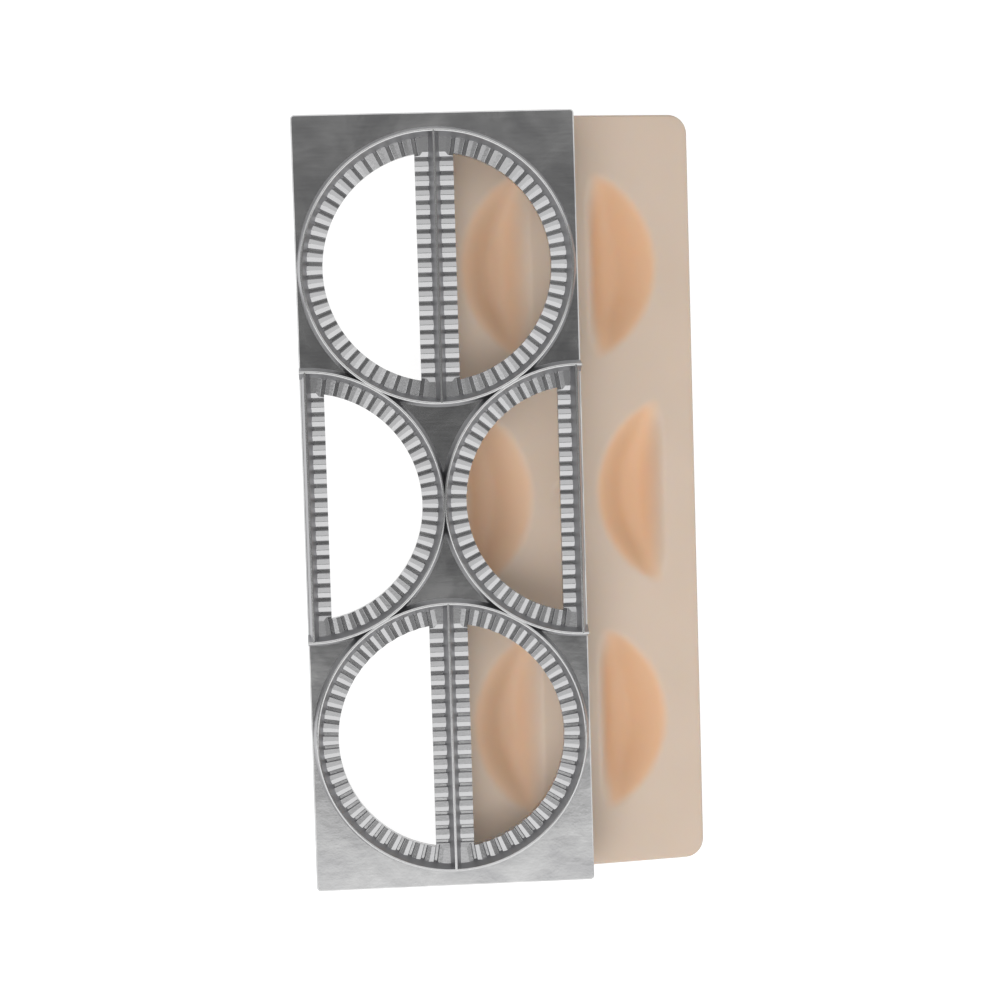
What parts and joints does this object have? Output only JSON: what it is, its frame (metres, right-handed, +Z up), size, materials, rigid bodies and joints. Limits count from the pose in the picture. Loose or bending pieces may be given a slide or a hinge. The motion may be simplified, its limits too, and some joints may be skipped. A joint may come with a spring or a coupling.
{
  "type": "pierogi maker",
  "caption": "Cast plate with half-moon cutting openings and crimping teeth on rubber feet, lying over a moulded press tray with half-moon pockets.",
  "frame": {"origin": "middle of the footprint of both pieces, on the table that they lie on", "axes": "+X across both pieces, from the plate towards the tray; +Y along the plate and the tray, away from the viewer; +Z up from the table"},
  "size_m": [0.161, 0.3, 0.0432],
  "materials": {
    "cast_aluminium": "satin as-cast and tumbled",
    "moulded_plastic": "satin moulded, slightly translucent",
    "foot_rubber": "matte"
  },
  "bodies": {
    "tray": {"press_tray": "moulded_plastic"},
    "plate": {"cutting_plate": "cast_aluminium", "foot_front_left": "foot_rubber", "foot_front_right": "foot_rubber", "foot_rear_left": "foot_rubber", "foot_rear_right": "foot_rubber"}
  },
  "joints": [
    {"name": "plate_lift", "type": "slide", "parent": "tray", "child": "plate", "axis": [0, 0, 1], "range_m": [0, 0.06]}
  ]
}
